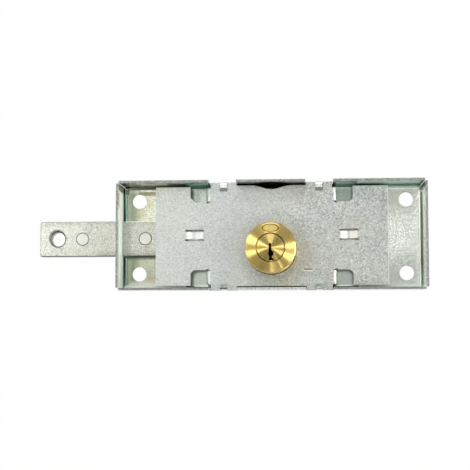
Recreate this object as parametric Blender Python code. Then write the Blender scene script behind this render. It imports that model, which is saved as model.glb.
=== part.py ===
# Roller shutter lock: a folded steel case and cover plate, a sliding bolt with a rack,
# and a round brass pin tumbler cylinder whose plug drives the bolt through a pinion.
# Metres, +Z towards the front. The origin is the middle of the case's back face,
# +X is along the case away from the bolt's tip, and +Y is up its width.

import math

import bmesh
import bpy
from mathutils import Matrix, Vector

# Sheet steel, used for the case and the cover plate.
SHEET = 0.0012
BEND_INSIDE = 0.00175
FIT_GAP = 0.0003
PIN_GAP = 0.0002

# Case: a floor with four walls folded up from it.
CASE_LENGTH = 0.155
CASE_HEIGHT = 0.055
CASE_DEPTH = 0.020
CORNER_SEAM = 0.0002
MOUNT_HOLE_RADIUS = 0.00365
MOUNT_INSET_X = 0.0091
MOUNT_INSET_Y = 0.0087

# Bolt: a flat bar with a padlock hole, two flush hardened pins and a rack on its tail.
BOLT_HEIGHT = 0.018
BOLT_THICKNESS = 0.005
BOLT_Y = -0.0008
BOLT_PROTRUSION = 0.0417
BOLT_TIP_ROUND = 0.0009
BOLT_EDGE_BREAK = 0.0005
TIP_HOLE_FROM_END = 0.0093
TIP_HOLE_RADIUS = 0.0036
TIP_HOLE_CHAMFER = 0.0008
HARD_PIN_RADIUS = 0.003
HARD_PIN_GAP = 0.00015
HARD_PINS_FROM_END = (0.0221, 0.0545)
TAIL_REACH = 0.046
WINDOW_GAP = 0.0005

# Drive: one turn of the plug turns a pinion that moves the bolt by its pitch circumference.
MODULE = 0.001
PINION_TEETH = 7
PRESSURE_ANGLE = math.radians(30)
ADDENDUM = 0.8 * MODULE
DEDENDUM = 1.1 * MODULE
BACKLASH = 0.0003
FLANK_POINTS = 7
PINION_HUB_RADIUS = 0.00255
PINION_NECK_RADIUS = 0.0036
PINION_FLANGE_RADIUS = 0.0085
PINION_FLANGE_THICKNESS = 0.0012
TONGUE_WIDTH = 0.003
TONGUE_LENGTH = 0.011
TONGUE_HEIGHT = 0.0017
PLUG_SCREW_RADIUS = 0.0008
PLUG_SCREW_HEAD_RADIUS = 0.0014
PLUG_SCREW_LENGTH = 0.0042
PLUG_SCREW_RING = 0.0054

# Guide post: a shouldered rivet that the slot in the bolt's tail runs on.
POST_FROM_TAIL_END = 0.019
POST_Y = 0.003
POST_RADIUS = 0.0025
POST_RIVET_RADIUS = 0.0018
POST_HEAD_RADIUS = 0.004
POST_HEAD_THICKNESS = 0.001
SLOT_SPARE = 0.0005

# Cylinder: a round brass body with a concentric plug.
AXIS_Y = -0.0069
CYLINDER_RADIUS = 0.0125
CYLINDER_PROUD = 0.006
CYLINDER_OVER_BOLT = 0.0005
RIM_CHAMFER = 0.00035
PLUG_RADIUS = 0.007
PLUG_RECESS = 0.0004
PLUG_CHAMFER = 0.00025
FOOT_CLEAR_OF_BOLT = 0.0023
SCREW_RADIUS = 0.0015
SCREW_HEAD_RADIUS = 0.0025
SCREW_X = 0.005
SCREW_INSET = 0.0028
SCREW_BELOW_FLANGE = 0.001
SCREW_SUNK = 0.0001
DRIVE_SLOT_WIDTH = 0.0005
DRIVE_SLOT_DEPTH = 0.0004
FIELD_WIDTH = 0.0084
FIELD_HEIGHT = 0.004
FIELD_OUT = 0.0096
FIELD_DEPTH = 0.0002

# Pin stacks, front to back along the plug, as many as it has room for.
PIN_FIRST = 0.0027
PIN_PITCH = 0.0034
PIN_END_ROOM = 0.0017
PIN_RADIUS = 0.0012
KEY_PIN_LENGTH = 0.0044
DRIVER_PIN_LENGTH = 0.0022
CAP_LENGTH = 0.0011
SPRING_WIRE_RADIUS = 0.00015
SPRING_TURNS = 3

# Keyway: distances across and below the plug's axis.
KEYWAY_TOP = 0.0021
KEYWAY_BOTTOM = 0.0064
KEYWAY_LEFT = 0.0008
KEYWAY_NECK = 0.0004
KEYWAY_BULGE = 0.0015
KEYWAY_BULGE_LEFT = 0.0011
KEYWAY_BULGE_Y = 0.0030
KEYWAY_BULGE_HALF = 0.0007
KEYWAY_WAIST = 0.0007
KEYWAY_WARD = 0.0003
KEYWAY_WARD_Y = 0.0047
KEYWAY_WARD_HALF = 0.0002
KEYWAY_BASE = 0.0018
KEYWAY_END_WALL = 0.0004

# Cover plate: wings, four ears in the walls' notches, four tabs bent down to the floor.
COVER_WING_X = 0.05885
COVER_WING_GAP = 0.0012
COVER_EDGE_GAP = 0.0006
COVER_BEND_INSIDE = 0.0010
EAR_INNER_X = 0.0177
EAR_OUTER_X = 0.0307
EAR_SUNK = 0.0002
NOTCH_CLEARANCE = 0.0004
TAB_OUTER_X = 0.03305
TAB_HEIGHT_Y = 0.0068
TAB_FROM_EDGE = 0.0007
RELIEF_WIDTH = 0.0014
RELIEF_DEPTH = 0.0005
CUTOUT_OUTER_X = 0.04115
CUTOUT_DEPTH = 0.0079
CUTOUT_ROUND = 0.0026
FINGER_RECESS_WIDTH = 0.020
FINGER_RECESS_DEPTH = 0.0020
LUG_X = 0.0241
LUG_WIDTH = 0.0032
LUG_REACH = 0.0032
LUG_BEND_INSIDE = 0.0005
BRIDGE_FROM_TAIL_END = 0.007
BRIDGE_Y = 0.0004
BRIDGE_LENGTH = 0.009
BRIDGE_WIDTH = 0.0038
BRIDGE_SLIT = 0.0010
BRIDGE_RAMP = 0.0042
BRIDGE_DROP = 0.002

# Facets.
ROUND_STEPS = 48
SMALL_ROUND_STEPS = 24
TINY_ROUND_STEPS = 12
BEND_STEPS = 6
CORNER_STEPS = 4
SLOT_END_STEPS = 8
FINGER_RECESS_STEPS = 16
BRIDGE_RAMP_STEPS = 6
SPRING_TURN_STEPS = 10
SMOOTH_ANGLE = math.radians(32)
SAME_PLACE = 1e-6
MERGE_REACH = 1e-7

# Heights worked out from the sizes above, from the back of the case to its front.
FLOOR_TOP = SHEET
BOLT_BOTTOM = FLOOR_TOP + FIT_GAP
BOLT_TOP = BOLT_BOTTOM + BOLT_THICKNESS
COVER_UNDER = BOLT_TOP + FIT_GAP + BRIDGE_DROP
COVER_TOP = COVER_UNDER + SHEET
CYLINDER_BACK = BOLT_TOP + CYLINDER_OVER_BOLT
CYLINDER_FRONT = CASE_DEPTH + CYLINDER_PROUD
FLANGE_BACK = CYLINDER_BACK + FIT_GAP
FLANGE_FRONT = FLANGE_BACK + PINION_FLANGE_THICKNESS
PLUG_BACK = FLANGE_FRONT + FIT_GAP
PLUG_FRONT = CYLINDER_FRONT - PLUG_RECESS
TONGUE_FRONT = FLANGE_FRONT + TONGUE_HEIGHT
KEYWAY_BACK = TONGUE_FRONT + FIT_GAP + KEYWAY_END_WALL
PIN_COUNT = 1 + math.floor((PLUG_FRONT - PIN_FIRST - PIN_END_ROOM - KEYWAY_BACK) / PIN_PITCH)

# Places worked out from the sizes above.
POST_X = TAIL_REACH - POST_FROM_TAIL_END
BRIDGE_X = TAIL_REACH - BRIDGE_FROM_TAIL_END
HALF_LENGTH = CASE_LENGTH / 2
HALF_HEIGHT = CASE_HEIGHT / 2
WALL_INSIDE_Y = HALF_HEIGHT - SHEET
PITCH_RADIUS = MODULE * PINION_TEETH / 2
TIP_RADIUS = PITCH_RADIUS + ADDENDUM
ROOT_RADIUS = PITCH_RADIUS - DEDENDUM
BASE_RADIUS = PITCH_RADIUS * math.cos(PRESSURE_ANGLE)
TOOTH_PITCH = math.pi * MODULE
THROW = TOOTH_PITCH * PINION_TEETH
RACK_PITCH_Y = AXIS_Y + PITCH_RADIUS
RACK_ROOT_Y = RACK_PITCH_Y + DEDENDUM
BOLT_LOW_Y = BOLT_Y - BOLT_HEIGHT / 2
BOLT_HIGH_Y = BOLT_Y + BOLT_HEIGHT / 2
BOLT_TIP_X = -HALF_LENGTH - BOLT_PROTRUSION
RACK_TEETH_LEFT = PINION_TEETH + 1
RACK_TEETH_RIGHT = 1
SHOULDER_X = -(RACK_TEETH_LEFT + 1) * TOOTH_PITCH - MODULE
CYLINDER_AXIS = Vector((0, AXIS_Y, 0))
PLUG_BORE = PLUG_RADIUS + FIT_GAP
PIN_BORE = PIN_RADIUS + PIN_GAP
FOOT_Y = BOLT_LOW_Y - FOOT_CLEAR_OF_BOLT
SCREW_Y = FOOT_Y - SCREW_INSET
UPWARD = Matrix.Rotation(-math.pi / 2, 4, "X")


def clear_scene():
    for obj in list(bpy.data.objects):
        bpy.data.objects.remove(obj, do_unlink=True)


def material(name, colour, roughness):
    """A metal finish: its base colour, its roughness and full metallic value."""
    finish = bpy.data.materials.new(name)
    finish.use_nodes = True
    shader = finish.node_tree.nodes["Principled BSDF"]
    shader.inputs["Base Color"].default_value = (*colour, 1.0)
    shader.inputs["Roughness"].default_value = roughness
    shader.inputs["Metallic"].default_value = 1.0
    return finish


def pivot(name, place):
    """An empty that carries the pieces of one moving body."""
    empty = bpy.data.objects.new(name, None)
    empty.empty_display_size = CYLINDER_RADIUS
    empty.location = place
    bpy.context.collection.objects.link(empty)
    return empty


def new_object(name, shape):
    """Turn a bmesh, drawn where the piece lies in the lock, into an object."""
    bmesh.ops.remove_doubles(shape, verts=shape.verts, dist=MERGE_REACH)
    mesh = bpy.data.meshes.new(name)
    shape.to_mesh(mesh)
    shape.free()
    obj = bpy.data.objects.new(name, mesh)
    bpy.context.collection.objects.link(obj)
    return obj


def apply_modifiers(obj):
    """Replace an object's mesh by its shape with all modifiers on."""
    bpy.context.view_layer.update()
    shape = obj.evaluated_get(bpy.context.evaluated_depsgraph_get())
    mesh = bpy.data.meshes.new_from_object(shape)
    old = obj.data
    obj.modifiers.clear()
    obj.data = mesh
    bpy.data.meshes.remove(old)


def combine(obj, shape, operation):
    """Cut a closed shape out of an object, or join it on."""
    tool = new_object(obj.name + "_tool", shape)
    tool.hide_render = True
    tool.display_type = "WIRE"
    change = obj.modifiers.new("Change", "BOOLEAN")
    change.operation = operation
    change.solver = "EXACT"
    change.object = tool
    apply_modifiers(obj)
    bpy.data.objects.remove(tool, do_unlink=True)


def cut(obj, shape):
    combine(obj, shape, "DIFFERENCE")


def join(obj, shape):
    combine(obj, shape, "UNION")


def finish(obj, look, origin=(0, 0, 0), parent=None):
    """Give a piece its material, its round shading, an origin of its own and its carrier."""
    obj.data.materials.clear()
    obj.data.materials.append(look)
    obj.data.shade_smooth()
    obj.data.set_sharp_from_angle(angle=SMOOTH_ANGLE)
    obj.data.transform(Matrix.Translation(-Vector(origin)))
    obj.location = origin
    if parent:
        obj.location -= parent.location
        obj.parent = parent


def add_box(shape, low, high):
    low, high = Vector(low), Vector(high)
    size = Matrix.Diagonal((*(high - low), 1))
    bmesh.ops.create_cube(shape, size=1, matrix=Matrix.Translation((low + high) / 2) @ size)


def add_cone(shape, centre, radius, back, front, front_radius=None, steps=SMALL_ROUND_STEPS, turn=None):
    """A cylinder or cone along Z from back to front, or along the axis that turn gives it."""
    front_radius = radius if front_radius is None else front_radius
    place = Matrix.Translation(centre) @ (turn or Matrix()) @ Matrix.Translation((0, 0, (back + front) / 2))
    bmesh.ops.create_cone(
        shape,
        cap_ends=True,
        segments=steps,
        radius1=radius,
        radius2=front_radius,
        depth=front - back,
        matrix=place,
    )


def add_prism(shape, outline, back, front):
    """A flat outline, given anticlockwise in X and Y, raised from back to front."""
    base = [shape.verts.new((x, y, back)) for x, y in outline]
    face = shape.faces.new(base)
    raised = bmesh.ops.extrude_face_region(shape, geom=[face])["geom"]
    corners = [part for part in raised if isinstance(part, bmesh.types.BMVert)]
    bmesh.ops.translate(shape, verts=corners, vec=(0, 0, front - back))
    bmesh.ops.recalc_face_normals(shape, faces=shape.faces)
    return base, corners


def lathe(profile, centre=(0, 0, 0), steps=ROUND_STEPS):
    """Turn a profile of (radius, height) points round an upright axis through centre."""
    shape = bmesh.new()
    points = [shape.verts.new((radius, 0, height)) for radius, height in profile]
    edges = [shape.edges.new(pair) for pair in zip(points, points[1:])]
    bmesh.ops.spin(
        shape,
        geom=points + edges,
        cent=(0, 0, 0),
        axis=(0, 0, 1),
        angle=math.tau,
        steps=steps,
        use_merge=True,
    )
    bmesh.ops.remove_doubles(shape, verts=shape.verts, dist=MERGE_REACH)
    bmesh.ops.recalc_face_normals(shape, faces=shape.faces)
    bmesh.ops.translate(shape, verts=shape.verts, vec=centre)
    return shape


def arc(centre, radius, start, end, steps):
    """Points along an arc, angles in degrees, both ends included."""
    turns = [math.radians(start + (end - start) * i / steps) for i in range(steps + 1)]
    return [(centre[0] + radius * math.cos(t), centre[1] + radius * math.sin(t)) for t in turns]


def bend(shape, edges, centre, axis, angle):
    """Carry the edge of a sheet round a bend, and return the edges at its far end."""
    ends = {corner for edge in edges for corner in edge.verts}
    turned = bmesh.ops.spin(
        shape,
        geom=list(ends) + list(edges),
        cent=centre,
        axis=axis,
        angle=angle,
        steps=BEND_STEPS,
    )
    return [part for part in turned["geom_last"] if isinstance(part, bmesh.types.BMEdge)]


def extend(shape, edges, offset):
    """Carry the edge of a sheet straight on, and return the edges at its far end."""
    made = bmesh.ops.extrude_edge_only(shape, edges=edges)["geom"]
    corners = [part for part in made if isinstance(part, bmesh.types.BMVert)]
    bmesh.ops.translate(shape, verts=corners, vec=offset)
    return [part for part in made if isinstance(part, bmesh.types.BMEdge)]


def middle(edge):
    return (edge.verts[0].co + edge.verts[1].co) / 2


def thicken(obj, outer_face_up):
    """Give a sheet, modelled by its outer faces, its thickness on the inside."""
    mesh = obj.data
    largest = max(mesh.polygons, key=lambda face: face.area)
    if (largest.normal.z > 0) != outer_face_up:
        mesh.flip_normals()
    wall = obj.modifiers.new("Sheet", "SOLIDIFY")
    wall.thickness = SHEET
    wall.offset = -1
    wall.use_even_offset = True
    apply_modifiers(obj)


def notch_steps():
    """Where the long walls are divided: at both sides of each notch and of its lug."""
    inner = EAR_INNER_X - NOTCH_CLEARANCE
    outer = EAR_OUTER_X + NOTCH_CLEARANCE
    half = LUG_WIDTH / 2
    right = [inner, LUG_X - half, LUG_X + half, outer]
    return sorted([-x for x in right] + right)


def close_corner(shape, corner, outward):
    """Carry both walls on to a corner, so that their inner faces meet there but for a seam."""
    outside = BEND_INSIDE + SHEET
    for along, across in ((0, 1), (1, 0)):
        edges = []
        for edge in shape.edges:
            at_end = all(abs(v.co[along] - corner[along]) < SAME_PLACE for v in edge.verts)
            beyond = all((v.co[across] - corner[across]) * outward[across] > -SAME_PLACE for v in edge.verts)
            if at_end and beyond:
                edges.append(edge)
        made = bmesh.ops.extrude_edge_only(shape, edges=edges)["geom"]
        for point in made:
            if isinstance(point, bmesh.types.BMVert):
                risen = abs(point.co[across] - corner[across]) / outside
                point.co[along] += outward[along] * max(BEND_INSIDE * risen - CORNER_SEAM / 2, 0)


def case_sheet():
    """The case's outer faces: the floor, the bends, the walls, and the lugs folded in."""
    shape = bmesh.new()
    outside = BEND_INSIDE + SHEET
    floor_x, floor_y = HALF_LENGTH - outside, HALF_HEIGHT - outside
    inner, lug_in, lug_out, outer = notch_steps()[4:]
    stations = [-floor_x, *notch_steps(), floor_x]
    rows = [[shape.verts.new((x, y, 0)) for x in stations] for y in (-floor_y, floor_y)]
    for i in range(len(stations) - 1):
        shape.faces.new((rows[0][i], rows[0][i + 1], rows[1][i + 1], rows[1][i]))

    notch_low = COVER_UNDER - FIT_GAP
    lug_radius = LUG_BEND_INSIDE + SHEET
    lug_top = COVER_TOP + FIT_GAP + SHEET
    for side in (-1, 1):
        start = [e for e in shape.edges if all(abs(v.co.y - side * floor_y) < SAME_PLACE for v in e.verts)]
        wall = bend(shape, start, (0, side * floor_y, outside), (side, 0, 0), math.pi / 2)
        wall = extend(shape, wall, (0, 0, notch_low - outside))
        lugs = [e for e in wall if lug_in < abs(middle(e).x) < lug_out]
        full = [e for e in wall if not inner < abs(middle(e).x) < outer]
        extend(shape, full, (0, 0, CASE_DEPTH - notch_low))
        lugs = extend(shape, lugs, (0, 0, lug_top - lug_radius - notch_low))
        lugs = bend(
            shape,
            lugs,
            (0, side * (HALF_HEIGHT - lug_radius), lug_top - lug_radius),
            (side, 0, 0),
            math.pi / 2,
        )
        extend(shape, lugs, (0, side * (lug_radius - LUG_REACH), 0))
    for end in (-1, 1):
        start = [
            e
            for e in shape.edges
            if all(abs(v.co.x - end * floor_x) < SAME_PLACE and abs(v.co.z) < SAME_PLACE for v in e.verts)
        ]
        wall = bend(shape, start, (end * floor_x, 0, outside), (0, -end, 0), math.pi / 2)
        extend(shape, wall, (0, 0, CASE_DEPTH - outside))
    for end in (-1, 1):
        for side in (-1, 1):
            close_corner(shape, Vector((end * floor_x, side * floor_y)), Vector((end, side)))
    bmesh.ops.remove_doubles(shape, verts=shape.verts, dist=MERGE_REACH)
    bmesh.ops.recalc_face_normals(shape, faces=shape.faces)
    return shape


def mount_places():
    return [
        (x * (HALF_LENGTH - MOUNT_INSET_X), y * (HALF_HEIGHT - MOUNT_INSET_Y), 0)
        for x in (-1, 1)
        for y in (-1, 1)
    ]


def chamber_places():
    """The pin chambers' places on the plug's axis, front to back."""
    return [(0, AXIS_Y, PLUG_FRONT - PIN_FIRST - PIN_PITCH * i) for i in range(PIN_COUNT)]


def screw_places():
    return [(x, SCREW_Y, 0) for x in (-SCREW_X, SCREW_X)]


def make_case(look):
    case = new_object("case_tray", case_sheet())
    thicken(case, outer_face_up=False)
    holes = bmesh.new()
    through = (-SHEET, 2 * SHEET)
    for place in mount_places():
        add_cone(holes, place, MOUNT_HOLE_RADIUS, *through, steps=ROUND_STEPS)
    add_cone(holes, CYLINDER_AXIS, PINION_HUB_RADIUS + FIT_GAP, *through, steps=ROUND_STEPS)
    add_cone(holes, (POST_X, POST_Y, 0), POST_RIVET_RADIUS + PIN_GAP, *through)
    cut(case, holes)
    for place in screw_places():
        cut(case, countersink(place, SCREW_RADIUS, SCREW_HEAD_RADIUS, 0, 2 * SHEET))
    window = bmesh.new()
    bend_start = HALF_LENGTH - BEND_INSIDE - SHEET
    add_box(
        window,
        (-HALF_LENGTH - SHEET, BOLT_LOW_Y - WINDOW_GAP, FLOOR_TOP),
        (-bend_start + FIT_GAP, BOLT_HIGH_Y + WINDOW_GAP, BOLT_TOP + WINDOW_GAP),
    )
    cut(case, window)
    finish(case, look)


def cover_quarter(corner_steps=BEND_STEPS):
    """The cover's outline in its +X, +Y quarter, from its middle edge round to the wing's end."""
    edge_y = WALL_INSIDE_Y - COVER_EDGE_GAP
    wing_y = WALL_INSIDE_Y - COVER_WING_GAP
    ear_y = HALF_HEIGHT - EAR_SUNK
    slot_y = WALL_INSIDE_Y - FIT_GAP
    slot_half = LUG_WIDTH / 2 + FIT_GAP
    bend_x = TAB_OUTER_X - COVER_BEND_INSIDE - SHEET
    cutout_y = wing_y - CUTOUT_DEPTH
    tab_y = wing_y - TAB_FROM_EDGE
    relief_out = TAB_OUTER_X + FIT_GAP
    relief_in = relief_out - RELIEF_WIDTH
    points = [
        (EAR_INNER_X, edge_y),
        (EAR_INNER_X, ear_y),
        (LUG_X - slot_half, ear_y),
        (LUG_X - slot_half, slot_y),
        (LUG_X + slot_half, slot_y),
        (LUG_X + slot_half, ear_y),
        (EAR_OUTER_X, ear_y),
        (EAR_OUTER_X, wing_y),
        (bend_x, tab_y),
        (bend_x, tab_y - TAB_HEIGHT_Y),
        (bend_x, cutout_y),
        (relief_in, cutout_y),
        (relief_in, cutout_y - RELIEF_DEPTH),
        (relief_out, cutout_y - RELIEF_DEPTH),
        (relief_out, cutout_y),
    ]
    corner = (CUTOUT_OUTER_X - CUTOUT_ROUND, cutout_y + CUTOUT_ROUND)
    points += arc(corner, CUTOUT_ROUND, -90, 0, corner_steps)
    points += [(CUTOUT_OUTER_X, wing_y), (COVER_WING_X, wing_y)]
    return points


def finger_recess():
    """The shallow curved recess in the cover's upper edge, from right to left."""
    edge_y = WALL_INSIDE_Y - COVER_EDGE_GAP
    points = []
    for i in range(FINGER_RECESS_STEPS + 1):
        share = 1 - 2 * i / FINGER_RECESS_STEPS
        sag = FINGER_RECESS_DEPTH * (1 + math.cos(math.pi * share)) / 2
        points.append((share * FINGER_RECESS_WIDTH / 2, edge_y - sag))
    return points


def bridge_drop(across):
    """How far a pressed bridge lies below the plate, at a distance along it from its middle."""
    share = min(max((BRIDGE_LENGTH / 2 - abs(across)) / BRIDGE_RAMP, 0), 1)
    return BRIDGE_DROP * share * share * (3 - 2 * share)


def press_bridges(shape):
    """Slit the plate twice on each side and press the strip between the slits inward."""
    strip = BRIDGE_WIDTH / 2
    slit = strip + BRIDGE_SLIT
    ramp_step = BRIDGE_RAMP / BRIDGE_RAMP_STEPS
    ramp = [BRIDGE_LENGTH / 2 - ramp_step * i for i in range(BRIDGE_RAMP_STEPS + 1)]
    across = [-x for x in ramp] + ramp
    lines = [((side * BRIDGE_X + x, 0, 0), (1, 0, 0)) for side in (-1, 1) for x in across]
    lines += [((0, BRIDGE_Y + y, 0), (0, 1, 0)) for y in (-slit, -strip, strip, slit)]
    for place, facing in lines:
        sheet = [*shape.verts, *shape.edges, *shape.faces]
        bmesh.ops.bisect_plane(shape, geom=sheet, plane_co=place, plane_no=facing)

    def off_middle(point):
        return abs(abs(point.x) - BRIDGE_X), abs(point.y - BRIDGE_Y)

    slits = []
    for face in shape.faces:
        x, y = off_middle(face.calc_center_median())
        if x < BRIDGE_LENGTH / 2 and strip < y < slit:
            slits.append(face)
    bmesh.ops.delete(shape, geom=slits, context="FACES")
    for corner in shape.verts:
        x, y = off_middle(corner.co)
        if x < BRIDGE_LENGTH / 2 and y < strip + SAME_PLACE:
            corner.co.z -= bridge_drop(x)


def cover_sheet():
    """The cover's front faces: one flat outline, its pressed bridges and its bent tabs.

    The cut-out at the upper left has a bevelled corner, and the other three a round one.
    """
    shape = bmesh.new()
    quarter = cover_quarter()
    right_top = quarter
    right_low = [(x, -y) for x, y in reversed(quarter)]
    left_low = [(-x, -y) for x, y in quarter]
    left_top = [(-x, y) for x, y in reversed(cover_quarter(corner_steps=1))]
    outline = right_top + right_low + left_low + left_top + finger_recess()[::-1]
    corners = [shape.verts.new((x, y, COVER_TOP)) for x, y in outline]
    shape.faces.new(corners)
    press_bridges(shape)

    bend_x = TAB_OUTER_X - COVER_BEND_INSIDE - SHEET
    tab_end = WALL_INSIDE_Y - COVER_WING_GAP - TAB_FROM_EDGE
    tab_start = tab_end - TAB_HEIGHT_Y
    outside = COVER_BEND_INSIDE + SHEET
    for side in (-1, 1):
        tabs = []
        for edge in shape.edges:
            x_low, x_high = sorted(abs(v.co.x - side * bend_x) for v in edge.verts)
            y_low, y_high = sorted(abs(v.co.y) for v in edge.verts)
            if x_high < SAME_PLACE and y_low > tab_start - SAME_PLACE and y_high < tab_end + SAME_PLACE:
                tabs.append(edge)
        tabs = bend(
            shape, tabs, (side * bend_x, 0, COVER_TOP - outside), (0, side, 0), math.pi / 2
        )
        extend(shape, tabs, (0, 0, BOLT_BOTTOM - COVER_TOP + outside))
    bmesh.ops.remove_doubles(shape, verts=shape.verts, dist=MERGE_REACH)
    bmesh.ops.recalc_face_normals(shape, faces=shape.faces)
    return shape


def make_cover(look):
    cover = new_object("cover_plate", cover_sheet())
    thicken(cover, outer_face_up=True)
    hole = bmesh.new()
    add_cone(
        hole,
        CYLINDER_AXIS,
        CYLINDER_RADIUS + FIT_GAP,
        COVER_UNDER - SHEET,
        COVER_TOP + SHEET,
        steps=ROUND_STEPS,
    )
    cut(cover, hole)
    finish(cover, look)


def rack_tooth(centre):
    """One rack tooth, pointing down, from left to right: straight flanks at the pressure angle."""
    half = TOOTH_PITCH / 4 - BACKLASH / 4
    root = half + DEDENDUM * math.tan(PRESSURE_ANGLE)
    tip = half - ADDENDUM * math.tan(PRESSURE_ANGLE)
    tip_y = RACK_PITCH_Y - ADDENDUM
    return [
        (centre - root, RACK_ROOT_Y),
        (centre - tip, tip_y),
        (centre + tip, tip_y),
        (centre + root, RACK_ROOT_Y),
    ]


def bolt_outline():
    """The bar, anticlockwise from its lower shoulder: rack, tail, upper edge, tip."""
    points = [(SHOULDER_X, BOLT_LOW_Y + MODULE), (SHOULDER_X, RACK_ROOT_Y)]
    for i in range(-RACK_TEETH_LEFT, RACK_TEETH_RIGHT + 1):
        points += rack_tooth(i * TOOTH_PITCH)
    corner = 2 * MODULE
    points += arc((TAIL_REACH - corner, RACK_ROOT_Y + corner), corner, -90, 0, CORNER_STEPS)
    points += arc((TAIL_REACH - corner, BOLT_HIGH_Y - corner), corner, 0, 90, CORNER_STEPS)
    tip_x = BOLT_TIP_X + BOLT_TIP_ROUND
    points += arc((tip_x, BOLT_HIGH_Y - BOLT_TIP_ROUND), BOLT_TIP_ROUND, 90, 180, CORNER_STEPS)
    points += arc((tip_x, BOLT_LOW_Y + BOLT_TIP_ROUND), BOLT_TIP_ROUND, 180, 270, CORNER_STEPS)
    points.append((SHOULDER_X - MODULE, BOLT_LOW_Y))
    return points


def hard_pin_places():
    return [(BOLT_TIP_X + distance, BOLT_Y, 0) for distance in HARD_PINS_FROM_END]


def make_bolt(look, pin_look, parent):
    shape = bmesh.new()
    add_prism(shape, bolt_outline(), BOLT_BOTTOM, BOLT_TOP)
    edges = [
        e
        for e in shape.edges
        if all(v.co.x < SHOULDER_X - MODULE / 2 for v in e.verts)
        and abs(e.verts[0].co.z - e.verts[1].co.z) < SAME_PLACE
    ]
    bmesh.ops.bevel(
        shape, geom=edges, offset=BOLT_EDGE_BREAK, affect="EDGES", segments=2, profile=0.5, material=-1
    )
    bolt = new_object("bolt_bar", shape)
    holes = bmesh.new()
    through = (BOLT_BOTTOM - SHEET, BOLT_TOP + SHEET)
    for place in hard_pin_places():
        add_cone(holes, place, HARD_PIN_RADIUS + HARD_PIN_GAP, *through, steps=ROUND_STEPS)
    slot_round = POST_RADIUS + FIT_GAP
    slot_right = POST_X + SLOT_SPARE
    slot_left = POST_X - THROW - SLOT_SPARE
    slot = arc((slot_right, POST_Y), slot_round, -90, 90, SLOT_END_STEPS)
    slot += arc((slot_left, POST_Y), slot_round, 90, 270, SLOT_END_STEPS)
    add_prism(holes, slot, *through)
    cut(bolt, holes)
    rim = TIP_HOLE_RADIUS + TIP_HOLE_CHAMFER
    tip_hole = [
        (0, BOLT_BOTTOM - SHEET),
        (TIP_HOLE_RADIUS, BOLT_BOTTOM - SHEET),
        (TIP_HOLE_RADIUS, BOLT_TOP - TIP_HOLE_CHAMFER),
        (rim + SHEET, BOLT_TOP + SHEET),
        (0, BOLT_TOP + SHEET),
    ]
    cut(bolt, lathe(tip_hole, (BOLT_TIP_X + TIP_HOLE_FROM_END, BOLT_Y, 0)))
    finish(bolt, look, parent.location, parent)
    for number, place in enumerate(hard_pin_places(), 1):
        shape = bmesh.new()
        add_cone(shape, place, HARD_PIN_RADIUS, BOLT_BOTTOM, BOLT_TOP, steps=ROUND_STEPS)
        finish(new_object(f"bolt_pin_{number}", shape), pin_look, place, parent)


def involute(radius):
    """The angle that an involute flank has turned through at a radius."""
    angle = math.acos(min(BASE_RADIUS / radius, 1))
    return math.tan(angle) - angle


def pinion_outline():
    """Seven involute teeth, anticlockwise, with a tooth space facing the rack's middle tooth."""
    half_at_pitch = math.pi / (2 * PINION_TEETH) - BACKLASH / 4 / PITCH_RADIUS
    flank = []
    for i in range(FLANK_POINTS):
        radius = BASE_RADIUS + (TIP_RADIUS - BASE_RADIUS) * i / (FLANK_POINTS - 1)
        flank.append((radius, half_at_pitch + involute(PITCH_RADIUS) - involute(radius)))
    foot_angle = flank[0][1]
    tooth = [(ROOT_RADIUS, -foot_angle)] + [(radius, -angle) for radius, angle in flank]
    tooth += [(radius, angle) for radius, angle in reversed(flank)] + [(ROOT_RADIUS, foot_angle)]
    points = []
    for i in range(PINION_TEETH):
        middle_angle = math.pi / 2 + (i + 0.5) * math.tau / PINION_TEETH
        for radius, angle in tooth:
            turn = middle_angle + angle
            points.append((radius * math.cos(turn), AXIS_Y + radius * math.sin(turn)))
    return points


def countersink(place, radius, head_radius, back, front):
    """A hole with clearance for a screw whose head lies just inside the back face."""
    bore = radius + PIN_GAP
    head = head_radius + PIN_GAP + SCREW_SUNK
    profile = [
        (0, back - SHEET),
        (head + SHEET, back - SHEET),
        (bore, back + head - bore),
        (bore, front),
        (0, front),
    ]
    return lathe(profile, place, SMALL_ROUND_STEPS)


def plug_screw_places():
    """Two screws through the pinion's flange into the plug, clear of keyway, chambers and tongue."""
    across = PLUG_SCREW_RING / math.sqrt(2)
    return [(side * across, AXIS_Y + side * across, 0) for side in (1, -1)]


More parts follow.
